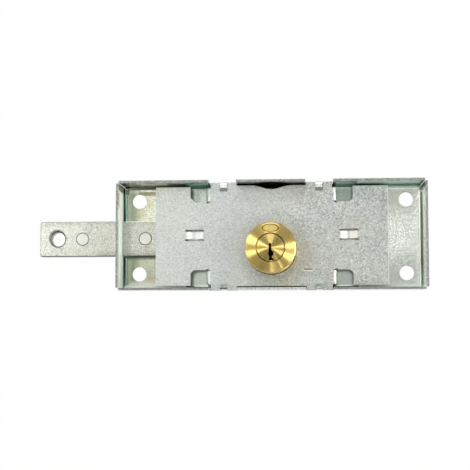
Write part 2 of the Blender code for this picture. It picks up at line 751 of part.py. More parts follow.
def make_pinion(look, screw_look, parent):
    """Teeth between a hub that turns in the floor and a flange that holds the plug in."""
    hub_back = FIT_GAP
    teeth_back, teeth_front = BOLT_BOTTOM, BOLT_TOP + FIT_GAP
    core = ROOT_RADIUS - FIT_GAP / 2
    profile = [
        (0, hub_back),
        (PINION_HUB_RADIUS, hub_back),
        (PINION_HUB_RADIUS, teeth_back + FIT_GAP / 2),
        (core, teeth_back + FIT_GAP / 2),
        (core, teeth_front - FIT_GAP / 2),
        (PINION_NECK_RADIUS, teeth_front - FIT_GAP / 2),
        (PINION_NECK_RADIUS, FLANGE_BACK),
        (PINION_FLANGE_RADIUS, FLANGE_BACK),
        (PINION_FLANGE_RADIUS, FLANGE_FRONT),
        (0, FLANGE_FRONT),
    ]
    pinion = new_object("drive_pinion", lathe(profile, CYLINDER_AXIS))
    teeth = bmesh.new()
    add_prism(teeth, pinion_outline(), teeth_back, teeth_front)
    join(pinion, teeth)
    tongue = bmesh.new()
    half_length, half_width = TONGUE_LENGTH / 2, TONGUE_WIDTH / 2
    add_box(
        tongue,
        (-half_length, AXIS_Y - half_width, FLANGE_FRONT - FIT_GAP),
        (half_length, AXIS_Y + half_width, TONGUE_FRONT),
    )
    join(pinion, tongue)

    radii = (PLUG_SCREW_RADIUS, PLUG_SCREW_HEAD_RADIUS)
    head_back = FLANGE_BACK + SCREW_SUNK
    for number, place in enumerate(plug_screw_places(), 1):
        cut(pinion, countersink(place, *radii, FLANGE_BACK, FLANGE_FRONT + SHEET))
        ends = (head_back, head_back + PLUG_SCREW_LENGTH)
        make_screw(f"plug_screw_{number}", place, radii, ends, screw_look, parent)
    finish(pinion, look, CYLINDER_AXIS, parent)


def make_screw(name, place, radii, ends, look, parent=None):
    """A slotted countersunk screw with its head at the back."""
    radius, head_radius = radii
    back, front = ends
    point = radius / 3
    profile = [
        (0, back),
        (head_radius, back),
        (radius, back + head_radius - radius),
        (radius, front - point),
        (radius - point, front),
        (0, front),
    ]
    screw = new_object(name, lathe(profile, place, SMALL_ROUND_STEPS))
    slot = bmesh.new()
    reach = Vector((2 * head_radius, DRIVE_SLOT_WIDTH / 2, 0))
    depth = Vector((0, 0, back + DRIVE_SLOT_DEPTH))
    add_box(slot, Vector(place) - reach - Vector((0, 0, SHEET)), Vector(place) + reach + depth)
    cut(screw, slot)
    finish(screw, look, place, parent)


def make_post(look):
    """Riveted in the floor, flush behind it, with a shoulder for the tail and a wide head."""
    under_head = BOLT_TOP + FIT_GAP
    shape = lathe(
        [
            (0, SCREW_SUNK),
            (POST_RIVET_RADIUS, SCREW_SUNK),
            (POST_RIVET_RADIUS, BOLT_BOTTOM),
            (POST_RADIUS, BOLT_BOTTOM),
            (POST_RADIUS, under_head),
            (POST_HEAD_RADIUS, under_head),
            (POST_HEAD_RADIUS, under_head + POST_HEAD_THICKNESS),
            (0, under_head + POST_HEAD_THICKNESS),
        ],
        (POST_X, POST_Y, 0),
        SMALL_ROUND_STEPS,
    )
    finish(new_object("guide_post", shape), look, (POST_X, POST_Y, 0))


def make_cylinder(look, screw_look):
    """The brass body: a turned round with a foot that stands on the floor below the bolt."""
    flange_low = CYLINDER_BACK - 2 * FIT_GAP
    flange_room = PINION_FLANGE_RADIUS + FIT_GAP
    profile = [
        (0, BOLT_BOTTOM),
        (CYLINDER_RADIUS, BOLT_BOTTOM),
        (CYLINDER_RADIUS, CYLINDER_FRONT - RIM_CHAMFER),
        (CYLINDER_RADIUS - RIM_CHAMFER, CYLINDER_FRONT),
        (PLUG_BORE, CYLINDER_FRONT),
        (PLUG_BORE, PLUG_BACK),
        (flange_room, PLUG_BACK),
        (flange_room, flange_low),
        (0, flange_low),
    ]
    body = new_object("cylinder_body", lathe(profile, CYLINDER_AXIS, 2 * ROUND_STEPS))
    over_bolt = bmesh.new()
    reach = 2 * CYLINDER_RADIUS
    add_box(over_bolt, (-reach, FOOT_Y, 0), (reach, AXIS_Y + reach, CYLINDER_BACK))
    cut(body, over_bolt)

    chambers = bmesh.new()
    for place in chamber_places():
        add_cone(chambers, place, PIN_BORE, PLUG_RADIUS - SHEET, CYLINDER_RADIUS + SHEET, turn=UPWARD)
    cut(body, chambers)

    screw_front = flange_low - SCREW_BELOW_FLANGE
    holes = bmesh.new()
    for place in screw_places():
        add_cone(holes, place, SCREW_RADIUS + PIN_GAP, 0, screw_front + FIT_GAP)
    cut(body, holes)
    field = bmesh.new()
    add_cone(field, (0, 0, 0), 1, CYLINDER_FRONT - FIELD_DEPTH, CYLINDER_FRONT + SHEET, steps=ROUND_STEPS)
    bmesh.ops.scale(field, verts=field.verts, vec=(FIELD_WIDTH / 2, FIELD_HEIGHT / 2, 1))
    bmesh.ops.translate(field, verts=field.verts, vec=(0, AXIS_Y + FIELD_OUT, 0))
    cut(body, field)
    finish(body, look, CYLINDER_AXIS)
    for number, place in enumerate(screw_places(), 1):
        make_screw(
            f"cylinder_screw_{number}",
            place,
            (SCREW_RADIUS, SCREW_HEAD_RADIUS),
            (SCREW_SUNK, screw_front),
            screw_look,
        )


def keyway_outline():
    """The keyway's section in the plug: a bulge on both sides, a ward below it and a wider base."""
    ward_high = KEYWAY_WARD_Y - KEYWAY_WARD_HALF
    ward_low = KEYWAY_WARD_Y + KEYWAY_WARD_HALF
    bulge_high = KEYWAY_BULGE_Y - KEYWAY_BULGE_HALF
    bulge_low = KEYWAY_BULGE_Y + KEYWAY_BULGE_HALF
    left_step = KEYWAY_BULGE_LEFT - KEYWAY_LEFT
    section = [
        (-KEYWAY_LEFT, -KEYWAY_TOP),
        (-KEYWAY_LEFT, bulge_high - left_step),
        (-KEYWAY_BULGE_LEFT, bulge_high),
        (-KEYWAY_BULGE_LEFT, bulge_low),
        (-KEYWAY_LEFT, bulge_low + left_step),
        (-KEYWAY_LEFT, ward_high - KEYWAY_WARD),
        (-KEYWAY_LEFT + KEYWAY_WARD, ward_high),
        (-KEYWAY_LEFT + KEYWAY_WARD, ward_low),
        (-KEYWAY_LEFT, ward_low + KEYWAY_WARD),
        (-KEYWAY_LEFT, KEYWAY_BOTTOM),
        (KEYWAY_BASE, KEYWAY_BOTTOM),
        (KEYWAY_BASE, ward_low + KEYWAY_BASE - KEYWAY_WAIST),
        (KEYWAY_WAIST, ward_low),
        (KEYWAY_WAIST, ward_high),
        (KEYWAY_BULGE, bulge_low),
        (KEYWAY_BULGE, bulge_high),
        (KEYWAY_NECK, bulge_high - KEYWAY_BULGE + KEYWAY_NECK),
        (KEYWAY_NECK, -KEYWAY_TOP),
    ]
    return [(x, AXIS_Y - below) for x, below in section]


def make_plug(look, parent):
    profile = [
        (0, PLUG_BACK),
        (PLUG_RADIUS, PLUG_BACK),
        (PLUG_RADIUS, PLUG_FRONT - PLUG_CHAMFER),
        (PLUG_RADIUS - PLUG_CHAMFER, PLUG_FRONT),
        (0, PLUG_FRONT),
    ]
    plug = new_object("plug", lathe(profile, CYLINDER_AXIS, 2 * ROUND_STEPS))
    keyway = bmesh.new()
    add_prism(keyway, keyway_outline(), KEYWAY_BACK, PLUG_FRONT + SHEET)
    cut(plug, keyway)
    chambers = bmesh.new()
    for place in chamber_places():
        low = KEYWAY_TOP - 2 * FIT_GAP
        add_cone(chambers, place, PIN_BORE, low, PLUG_RADIUS + SHEET, turn=UPWARD)
    cut(plug, chambers)
    slot = bmesh.new()
    half_length = TONGUE_LENGTH / 2 + FIT_GAP
    half_width = TONGUE_WIDTH / 2 + PIN_GAP
    add_box(
        slot,
        (-half_length, AXIS_Y - half_width, PLUG_BACK - SHEET),
        (half_length, AXIS_Y + half_width, TONGUE_FRONT + FIT_GAP),
    )
    cut(plug, slot)
    screw_holes = bmesh.new()
    screw_end = FLANGE_BACK + SCREW_SUNK + PLUG_SCREW_LENGTH + FIT_GAP
    for place in plug_screw_places():
        add_cone(screw_holes, place, PLUG_SCREW_RADIUS + PIN_GAP, PLUG_BACK - SHEET, screw_end)
    cut(plug, screw_holes)
    finish(plug, look, CYLINDER_AXIS, parent)


def coil_points(radius, low, high):
    """Points along a spring, with a flat first and last half turn."""
    count = SPRING_TURNS * SPRING_TURN_STEPS
    points = []
    for i in range(count + 1):
        turn = math.tau * i / SPRING_TURN_STEPS
        share = (i - SPRING_TURN_STEPS / 2) / (count - SPRING_TURN_STEPS)
        share = min(max(share, 0), 1)
        points.append((radius * math.cos(turn), low + (high - low) * share, radius * math.sin(turn)))
    return points


def key_pin_shape(place, top):
    """A round pin with a coned lower end that would ride on the key."""
    point = PIN_RADIUS / 2
    profile = [
        (0, top),
        (PIN_RADIUS, top),
        (PIN_RADIUS, top - KEY_PIN_LENGTH + point),
        (PIN_RADIUS - point, top - KEY_PIN_LENGTH),
        (0, top - KEY_PIN_LENGTH),
    ]
    shape = lathe(profile, steps=TINY_ROUND_STEPS)
    bmesh.ops.transform(shape, matrix=Matrix.Translation(place) @ UPWARD, verts=shape.verts)
    return shape


def make_spring(name, place, low, high, look):
    wire = bpy.data.curves.new(name, "CURVE")
    wire.dimensions = "3D"
    wire.bevel_depth = SPRING_WIRE_RADIUS
    wire.bevel_resolution = 1
    wire.use_fill_caps = True
    wire.materials.append(look)
    path = coil_points(PIN_RADIUS - SPRING_WIRE_RADIUS - PIN_GAP, low, high)
    line = wire.splines.new("POLY")
    line.points.add(len(path) - 1)
    for station, point in zip(line.points, path):
        station.co = (*point, 1)
    spring = bpy.data.objects.new(name, wire)
    spring.location = place
    bpy.context.collection.objects.link(spring)


def make_pin_stacks(brass, steel, parent):
    """In each chamber: a key pin in the plug, then a driver pin, a spring and a cap in the body."""
    shear = PLUG_RADIUS + FIT_GAP / 2
    driver_low = shear + PIN_GAP
    driver_high = driver_low + DRIVER_PIN_LENGTH
    cap_high = CYLINDER_RADIUS - PIN_GAP
    cap_low = cap_high - CAP_LENGTH
    seat = SPRING_WIRE_RADIUS + PIN_GAP
    for number, place in enumerate(chamber_places(), 1):
        key_pin = new_object(f"key_pin_{number}", key_pin_shape(place, shear - PIN_GAP))
        finish(key_pin, brass, place, parent)
        for name, low, high, look in (
            ("driver_pin", driver_low, driver_high, steel),
            ("chamber_cap", cap_low, cap_high, brass),
        ):
            shape = bmesh.new()
            add_cone(shape, place, PIN_RADIUS, low, high, steps=TINY_ROUND_STEPS, turn=UPWARD)
            finish(new_object(f"{name}_{number}", shape), look, place)
        make_spring(f"pin_spring_{number}", place, driver_high + seat, cap_low - seat, steel)


def build():
    clear_scene()
    galvanised = material("galvanised_steel", (0.50, 0.52, 0.48), 0.42)
    passivated = material("passivated_steel", (0.60, 0.60, 0.52), 0.36)
    bolt_steel = material("bolt_steel", (0.58, 0.58, 0.50), 0.40)
    hard_steel = material("hard_steel", (0.62, 0.62, 0.58), 0.34)
    brass = material("turned_brass", (0.72, 0.56, 0.26), 0.26)
    plug_axis = pivot("plug_axis", CYLINDER_AXIS)
    bolt_path = pivot("bolt_path", (0, BOLT_Y, (BOLT_BOTTOM + BOLT_TOP) / 2))

    make_case(passivated)
    make_cover(galvanised)
    make_post(hard_steel)
    make_cylinder(brass, hard_steel)
    make_plug(brass, plug_axis)
    make_pinion(hard_steel, hard_steel, plug_axis)
    make_pin_stacks(brass, hard_steel, plug_axis)
    make_bolt(bolt_steel, hard_steel, bolt_path)


build()
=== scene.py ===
import math

import bmesh
import bpy
from mathutils import Euler, Matrix, Vector


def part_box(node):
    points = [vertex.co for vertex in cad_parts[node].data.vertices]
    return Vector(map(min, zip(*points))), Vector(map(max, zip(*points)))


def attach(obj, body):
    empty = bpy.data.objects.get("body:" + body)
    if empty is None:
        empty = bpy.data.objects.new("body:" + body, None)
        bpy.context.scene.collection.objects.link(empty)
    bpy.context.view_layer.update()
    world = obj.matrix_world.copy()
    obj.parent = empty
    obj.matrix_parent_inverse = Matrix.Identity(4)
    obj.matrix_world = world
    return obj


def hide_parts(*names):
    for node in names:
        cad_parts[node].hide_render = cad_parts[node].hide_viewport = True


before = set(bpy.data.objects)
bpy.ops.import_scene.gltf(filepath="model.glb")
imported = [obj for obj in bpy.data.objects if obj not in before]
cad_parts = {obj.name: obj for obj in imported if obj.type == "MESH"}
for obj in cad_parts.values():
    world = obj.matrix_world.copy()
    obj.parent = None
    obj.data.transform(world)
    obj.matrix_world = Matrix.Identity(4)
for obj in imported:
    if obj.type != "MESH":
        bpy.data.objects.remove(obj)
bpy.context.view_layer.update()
scene = bpy.context.scene
mm = 0.001
print("frame loaded")


# camera: straight over the lock, leaning a little, where the picture was taken from
cameraView = {
    "place": (19.90 * mm, -45.27 * mm, 594.23 * mm),
    "lean": (4.462, 3.765, -0.135),  # degrees about x, y and z
    "focalPixels": 1159.7,
    "imagePixels": 470,
    "sensor": 36.0,
    "nearest": 10 * mm,
}


def makeCamera():
    lens = bpy.data.cameras.new("studioCamera")
    lens.sensor_width = cameraView["sensor"]
    lens.lens = cameraView["focalPixels"] / cameraView["imagePixels"] * cameraView["sensor"]
    lens.clip_start = cameraView["nearest"]
    camera = bpy.data.objects.new("studioCamera", lens)
    scene.collection.objects.link(camera)
    turns = [math.radians(angle) for angle in cameraView["lean"]]
    camera.matrix_world = Matrix.Translation(cameraView["place"]) @ Euler(turns, "XYZ").to_matrix().to_4x4()
    scene.camera = camera
    scene.view_settings.view_transform = "Standard"


def linear(hexColour):  # sRGB hex to the linear values that the nodes take
    parts = [int(hexColour[i : i + 2], 16) / 255 for i in (1, 3, 5)]
    return [p / 12.92 if p <= 0.04045 else ((p + 0.055) / 1.055) ** 2.4 for p in parts] + [1.0]


def setUp(tree, node, settings):  # properties by name, and sockets by name or number: a value, a hex colour or a source
    for name, value in settings.items():
        if isinstance(name, str) and hasattr(node, name):
            setattr(node, name, value)
        elif isinstance(value, bpy.types.NodeSocket):
            tree.links.new(value, node.inputs[name])
        else:
            node.inputs[name].default_value = linear(value) if isinstance(value, str) else value


def addNode(tree, kind, settings=None):
    node = tree.nodes.new(kind)
    setUp(tree, node, settings or {})
    return node


def newMaterial(name):
    material = bpy.data.materials.new(name)
    material.use_nodes = True
    tree = material.node_tree
    return material, tree, tree.nodes["Principled BSDF"]


# studio: a white table in a pale light tent, with soft boxes round it and a dark side below
studio = {
    "tableSize": 3.0,
    "tableDrop": 0.3 * mm,
    "tableColour": "#f4f4f2",
    "tableRoughness": 0.6,
    "whiteShare": 0.985,  # how much of the table shows as plain white
    "airColour": "#e9eeea",
    "airStrength": 0.46,
    "cottonColour": "#26282c",
    "cottonRoughness": 0.9,
}

# each soft box: place in metres, width and length, how bright its face is, colour
softBoxes = {
    "leftUpper": {"place": (-0.528, 0.246, 0.423), "size": (0.15, 0.84), "glow": 3.3, "colour": "#fffdf8"},
    "leftLower": {"place": (-0.573, -0.101, 0.423), "size": (0.11, 0.84), "glow": 3.4, "colour": "#fffdf8"},
    "rightUpper": {"place": (0.573, 0.101, 0.423), "size": (0.10, 0.84), "glow": 3.6, "colour": "#fffdf8"},
    "rightLower": {"place": (0.528, -0.246, 0.423), "size": (0.15, 0.84), "glow": 3.5, "colour": "#fffdf8"},
    "rightLow": {"place": (0.68, -0.06, 0.14), "size": (0.50, 0.20), "glow": 18.0, "colour": "#fffdf8"},
    "back": {"place": (-0.02, 0.52, 0.44), "size": (0.30, 0.44), "glow": 2.3, "colour": "#ffffff"},
    "frontRight": {"place": (0.10, -0.49, 0.50), "size": (0.12, 0.16), "glow": 1.0, "colour": "#eefff8"},
    "streak": {"place": (0.24, -0.42, 0.50), "size": (0.03, 0.50), "glow": 3.4, "colour": "#ffffff"},
    "lowStreak": {"place": (-0.005, -0.30, 0.62), "size": (0.03, 0.26), "glow": 2.8, "colour": "#ffffff"},
    "overFarEdge": {"place": (-0.03, 0.18, 0.70), "size": (0.14, 0.14), "glow": 1.6, "colour": "#ffffff"},
    "overLeft": {"place": (-0.150, 0.070, 0.72), "size": (0.09, 0.06), "glow": 2.2, "colour": "#fffdf4"},
    "overRight": {"place": (0.119, 0.052, 0.70), "size": (0.045, 0.045), "glow": 3.6, "colour": "#ffffff"},
}

# dark things that the polished metal sees: place, width and height
darkThings = {
    "camera": {"place": (0.012, 0.0, 0.64), "size": (0.022, 0.14)},
    "photographer": {"place": (-0.17, -0.52, 0.38), "size": (0.30, 0.76)},
}


def flatThing(name, size, turn, material):  # a flat, square-cornered thing of the studio
    shape = bmesh.new()
    bmesh.ops.create_grid(shape, x_segments=1, y_segments=1, size=0.5)
    bmesh.ops.scale(shape, verts=shape.verts, vec=(*size, 1))
    bmesh.ops.transform(shape, verts=shape.verts, matrix=turn)
    mesh = bpy.data.meshes.new(name)
    shape.to_mesh(mesh)
    shape.free()
    mesh.materials.append(material)
    thing = bpy.data.objects.new(name, mesh)
    scene.collection.objects.link(thing)
    return thing


def makeStudio():
    world = bpy.data.worlds.new("studioAir")
    world.use_nodes = True
    air = world.node_tree.nodes["Background"]
    setUp(world.node_tree, air, {"Color": studio["airColour"], "Strength": studio["airStrength"]})
    scene.world = world

    # white laminate: plain white to the camera, with a little of the lock's shadow left in
    laminate, tree, shader = newMaterial("whiteLaminate")
    setUp(tree, shader, {"Base Color": studio["tableColour"], "Roughness": studio["tableRoughness"]})
    path = addNode(tree, "ShaderNodeLightPath").outputs
    seen = addNode(tree, "ShaderNodeMath", {"operation": "MAXIMUM", 0: path["Is Camera Ray"], 1: path["Is Glossy Ray"]})
    seen = addNode(tree, "ShaderNodeMath", {"operation": "MAXIMUM", 0: seen.outputs[0], 1: path["Is Transmission Ray"]})
    share = addNode(tree, "ShaderNodeMath", {"operation": "MULTIPLY", 0: seen.outputs[0], 1: studio["whiteShare"]})
    glow = addNode(tree, "ShaderNodeEmission", {"Color": "#ffffff", "Strength": 1.0})
    mixed = addNode(tree, "ShaderNodeMixShader", {0: share.outputs[0], 1: shader.outputs[0], 2: glow.outputs[0]})
    setUp(tree, tree.nodes["Material Output"], {"Surface": mixed.outputs[0]})
    table = flatThing("table", [studio["tableSize"]] * 2, Matrix.Translation((0, 0, -studio["tableDrop"])), laminate)

    # black cotton: soaks up the light and gives the metal something dark to mirror
    cotton, tree, shader = newMaterial("blackCotton")
    setUp(tree, shader, {"Base Color": studio["cottonColour"], "Roughness": studio["cottonRoughness"]})
    for name, thing in darkThings.items():
        facing = (-Vector(thing["place"])).to_track_quat("Z", "Y").to_matrix().to_4x4()
        card = flatThing(name, thing["size"], Matrix.Translation(thing["place"]) @ facing, cotton)

    for name, box in softBoxes.items():
        lamp = bpy.data.lights.new(name, "AREA")
        lamp.shape = "RECTANGLE"
        lamp.size, lamp.size_y = box["size"]
        lamp.energy = box["glow"] * math.pi * lamp.size * lamp.size_y
        lamp.color = linear(box["colour"])[:3]
        holder = bpy.data.objects.new(name, lamp)
        holder.location = box["place"]
        holder.rotation_euler = (-Vector(box["place"])).to_track_quat("-Z", "Y").to_euler()
        scene.collection.objects.link(holder)


makeCamera()
makeStudio()
print("camera and studio ready")


noiseMiddle = {"From Min": 0.35, "From Max": 0.65}  # where most of a noise texture's values lie


def perMm(size):  # texture scale for a pattern of this real size in millimetres
    return 1000 / size


def layered(tree, base, *layers):  # lays colours over a base one after another, each with its own share
    for share, colour in layers:
        base = addNode(tree, "ShaderNodeMix", {"data_type": "RGBA", 0: share, 6: base, 7: colour}).outputs[2]
    return base


def betweenSizes(tree, value, low, high, soft):  # 1 between two sizes in millimetres and 0 outside them
    rise = addNode(tree, "ShaderNodeMapRange", {
        "Value": value, "From Min": (low - soft) * mm, "From Max": (low + soft) * mm})
    fall = addNode(tree, "ShaderNodeMapRange", {
        "Value": value, "From Min": (high - soft) * mm, "From Max": (high + soft) * mm, "To Min": 1.0, "To Max": 0.0})
    return addNode(tree, "ShaderNodeMath", {"operation": "MULTIPLY", 0: rise.outputs[0], 1: fall.outputs[0]}).outputs[0]


def tint(colour, share, soft, **where):  # a local colour: how strong, how soft its edge is, and where, in mm
    return {"colour": colour, "share": share, "soft": soft, **where}


def tintMask(tree, place, patch):  # how much of a local tint lies at a place
    sides = addNode(tree, "ShaderNodeSeparateXYZ", {"Vector": place}).outputs
    bands = [(sides[axis.upper()], patch[axis]) for axis in "xyz" if axis in patch]
    if "around" in patch:
        x, y = patch["around"]
        flat = addNode(tree, "ShaderNodeVectorMath", {
            "operation": "MULTIPLY_ADD", 0: place, 1: (1, 1, 0), 2: (-x * mm, -y * mm, 0)})
        radius = addNode(tree, "ShaderNodeVectorMath", {"operation": "LENGTH", 0: flat.outputs[0]}).outputs["Value"]
        bands.append((radius, patch["ring"]))
    mask = patch["share"]
    for value, (low, high) in bands:
        band = betweenSizes(tree, value, low, high, patch["soft"])
        mask = addNode(tree, "ShaderNodeMath", {"operation": "MULTIPLY", 0: mask, 1: band}).outputs[0]
    return mask


# passivated zinc: bright plating that mirrors the room softly, with a faint grain, rolling lines and
# the colours of its film: straw and tan stains towards the left end, where a dry haze lies on the end wall.
# Painted light: upright faces a darker mint than the floor, painted shade on the bends, in the upper corners,
# under the cover and behind the finger recess, and painted highlights along the feet of the walls
zincFilmAndPaintedLight = {
    "plain": "#edede8", "straw": "#e2e3d0", "mint": "#cfe3d8", "pale": "#eef1e8", "tan": "#cfc3a0",
    "warmFrom": -40.0, "warmTo": -60.0, "flatFrom": 0.8,
    "blotch": 16.0, "blotchShare": 0.3,
    "stain": 11.0, "stainSeed": 4.7, "stainRange": (0.5, 0.72), "stainShare": 0.7,
    "grain": 0.7, "grainShare": 0.18, "grainColour": "#b4b7ae", "roughness": (0.18, 0.25),
    "rollLine": 0.4, "rollLength": 18.0,
    "grainDepth": 0.0007, "lineDepth": 0.0015,
    "tints": (
        # left end: painted shade on the floor beside the wall, the wall's haze, its brown and teal patches, and painted
        # shade along its foot and bend
        tint("#98a28f", 0.9, 2.0, x=(-80.0, -69.5), y=(-26.0, 24.5), z=(-4.0, 3.2)),
        tint("#fbfff8", 1.0, 0.2, x=(-77.0, -76.0), z=(3.0, 30.0), haze=0.85),
        tint("#8b7f68", 0.7, 1.0, x=(-79.0, -74.5), y=(14.0, 22.0), z=(16.0, 21.0)),
        tint("#8fb3a6", 0.7, 0.6, x=(-79.0, -75.0), y=(-26.0, 8.0), z=(17.3, 19.6)),
        tint("#4d675f", 0.8, 0.5, x=(-76.9, -75.5), y=(-26.0, 26.0), z=(2.0, 4.5)),
        tint("#557a72", 0.9, 0.15, x=(-76.2, -75.1), y=(-25.0, 25.0), z=(0.9, 2.6)),
        # left floor: painted shade along the upper wall and towards the lower wall, the bolt's painted shadow line, and
        # a white hazed strip at the lower bend as its painted highlight
        tint("#948d74", 0.85, 0.5, x=(-69.0, -44.0), y=(21.9, 24.0), z=(-1.0, 2.2)),
        tint("#9fa486", 0.6, 2.0, x=(-75.0, -50.0), y=(-20.0, -10.0), z=(0.0, 1.5)),
        tint("#5d716c", 0.7, 0.5, x=(-75.0, -50.0), y=(-11.2, -9.0), z=(-1.0, 2.2)),
        tint("#fbfbf2", 0.9, 0.8, x=(-73.5, -50.0), y=(-25.0, -22.6), z=(0.0, 1.5), haze=0.9),
        # upper wall at the left: a cream cloud, painted shade on the bend and a painted highlight along its foot
        tint("#f6f1d0", 0.95, 1.5, x=(-67.0, -52.0), y=(20.0, 32.0), z=(6.0, 17.0), haze=0.6),
        tint("#6f765f", 0.55, 0.15, x=(-75.5, -44.0), y=(25.1, 26.4), z=(0.0, 4.0)),
        tint("#fffdf0", 1.0, 0.15, x=(-68.0, -44.0), y=(24.1, 25.0), z=(0.0, 1.7)),
        # upper wall at the right: mint haze, painted teal shade on the bend and a painted highlight along its foot
        tint("#e4fff2", 1.0, 0.6, x=(43.0, 75.6), y=(25.6, 26.8), z=(8.0, 19.3), haze=0.9),
        tint("#93b5ad", 0.6, 0.3, x=(43.0, 75.2), y=(25.1, 26.8), z=(-1.0, 6.5)),
        tint("#ffffff", 1.0, 0.15, x=(43.0, 75.2), y=(23.9, 24.9), z=(0.0, 1.7)),
        # right end wall, and painted shade in both upper corners
        tint("#f7fff9", 1.0, 0.2, x=(76.0, 77.0), z=(4.0, 30.0), haze=0.25),
        tint("#4f6d66", 0.7, 0.5, x=(74.8, 77.2), y=(23.4, 27.0), z=(0.0, 19.3)),
        tint("#4b5140", 0.85, 0.4, x=(-77.3, -73.8), y=(22.6, 27.0), z=(1.0, 19.3)),
        # foot of the lower wall, both ends: white hazed strips as painted highlights of the bends
        tint("#fcfffb", 1.0, 0.15, x=(-75.2, -44.0), y=(-26.2, -24.3), z=(0.0, 2.4), haze=0.95),
        tint("#fcfffb", 1.0, 0.15, x=(44.0, 75.2), y=(-26.2, -24.3), z=(0.0, 2.4), haze=0.95),
        # right floor: painted shade, greyer towards its top and bottom round the holes
        tint("#8d8c70", 0.25, 4.0, x=(52.0, 74.0), y=(13.0, 26.0), z=(-6.0, 6.0)),
        tint("#9b9d90", 0.27, 4.0, x=(52.0, 74.0), y=(-24.0, -9.0), z=(-6.0, 6.0)),
        # floor under the cover, seen through its cut-outs: painted shade, darker in the upper half and lighter in the
        # lower, with a lighter band in the left cut-outs
        tint("#adbab0", 1.0, 1.0, x=(-52.0, 52.0), y=(0.0, 24.0), z=(0.0, 2.0)),
        tint("#e9f2e8", 1.0, 1.0, x=(-52.0, 52.0), y=(-24.0, 0.0), z=(0.0, 2.0)),
        tint("#f4f6ee", 0.5, 1.5, x=(-37.0, -33.0), y=(-24.0, 24.0), z=(0.0, 2.0)),
        # upper wall behind the cut-outs: teal hazed patches as painted reflection, and black painted shade behind the
        # finger recess
        tint("#8fd0bf", 1.0, 0.5, x=(-42.5, -32.0), y=(25.3, 26.8), z=(2.0, 13.0), haze=0.95),
        tint("#8fd0bf", 1.0, 0.5, x=(32.5, 42.5), y=(25.3, 26.8), z=(2.0, 13.0), haze=0.95),
        tint("#23262b", 1.0, 0.1, x=(-17.6, 17.6), y=(25.6, 26.8), z=(0.0, 19.6)),
    ),
}


def zincMaterial(name, look):
    material, tree, shader = newMaterial(name)
    coordinates = addNode(tree, "ShaderNodeTexCoord").outputs
    place = coordinates["Object"]
    blotch = addNode(tree, "ShaderNodeTexNoise", {
        "Vector": place, "Scale": perMm(look["blotch"]), "Detail": 3.0, "Roughness": 0.55}).outputs["Fac"]
    stain = addNode(tree, "ShaderNodeTexNoise", {
        "noise_dimensions": "4D", "Vector": place, "W": look["stainSeed"], "Scale": perMm(look["stain"]),
        "Detail": 2.0}).outputs["Fac"]
    grain = addNode(tree, "ShaderNodeTexNoise", {
        "Vector": place, "Scale": perMm(look["grain"]), "Detail": 2.0}).outputs["Fac"]
    rolled = addNode(tree, "ShaderNodeMapping", {
        "Vector": place, "Scale": (perMm(look["rollLength"]), perMm(look["rollLine"]), perMm(look["rollLine"]))})
    lines = addNode(tree, "ShaderNodeTexNoise", {
        "Vector": rolled.outputs[0], "Scale": 1.0, "Detail": 2.0}).outputs["Fac"]

    along = addNode(tree, "ShaderNodeSeparateXYZ", {"Vector": place}).outputs["X"]
    warm = addNode(tree, "ShaderNodeMapRange", {
        "Value": along, "From Min": look["warmFrom"] * mm, "From Max": look["warmTo"] * mm}).outputs[0]
    # upright faces take a darker mint than the floor: painted reflection and shade by facing
    facing = addNode(tree, "ShaderNodeSeparateXYZ", {"Vector": coordinates["Normal"]}).outputs["Z"]
    facing = addNode(tree, "ShaderNodeMath", {"operation": "ABSOLUTE", 0: facing}).outputs[0]
    upright = addNode(tree, "ShaderNodeMapRange", {
        "Value": facing, "From Max": look["flatFrom"], "To Min": 1.0, "To Max": 0.0}).outputs[0]
    blotched = addNode(tree, "ShaderNodeMapRange", {
        "Value": blotch, **noiseMiddle, "To Max": look["blotchShare"]}).outputs[0]
    stained = addNode(tree, "ShaderNodeMapRange", {
        "Value": stain, "From Min": look["stainRange"][0], "From Max": look["stainRange"][1],
        "To Max": look["stainShare"]}).outputs[0]
    stained = addNode(tree, "ShaderNodeMath", {"operation": "MULTIPLY", 0: warm, 1: stained}).outputs[0]
    onFloor = layered(tree, look["plain"], (warm, look["straw"]))
    wallsPaintedShade = layered(tree, look["mint"], (warm, look["pale"]))
    base = layered(tree, onFloor, (upright, wallsPaintedShade), (blotched, look["mint"]), (stained, look["tan"]))

    metal = 1.0
    for patch in look["tints"]:
        mask = tintMask(tree, place, patch)
        base = layered(tree, base, (mask, patch["colour"]))
        if "haze" in patch:  # dry haze scatters the light as paint does and hides this share of the metal
            metal = addNode(tree, "ShaderNodeMath", {
                "operation": "MULTIPLY_ADD", "use_clamp": True, 0: mask, 1: -patch["haze"], 2: metal}).outputs[0]
    grained = addNode(tree, "ShaderNodeMapRange", {
        "Value": grain, **noiseMiddle, "To Max": look["grainShare"]}).outputs[0]
    base = addNode(tree, "ShaderNodeMix", {
        "data_type": "RGBA", "blend_type": "MULTIPLY", 0: grained, 6: base, 7: look["grainColour"]}).outputs[2]
    rough = addNode(tree, "ShaderNodeMapRange", {
        "Value": grain, **noiseMiddle, "To Min": look["roughness"][0], "To Max": look["roughness"][1]})
    bump = addNode(tree, "ShaderNodeBump", {"Strength": 1.0, "Distance": look["grainDepth"] * mm, "Height": grain})
    bump = addNode(tree, "ShaderNodeBump", {
        "Strength": 1.0, "Distance": look["lineDepth"] * mm, "Height": lines, "Normal": bump.outputs[0]})
    setUp(tree, shader, {
        "Base Color": base, "Roughness": rough.outputs[0], "Metallic": metal, "Normal": bump.outputs[0]})
    return material
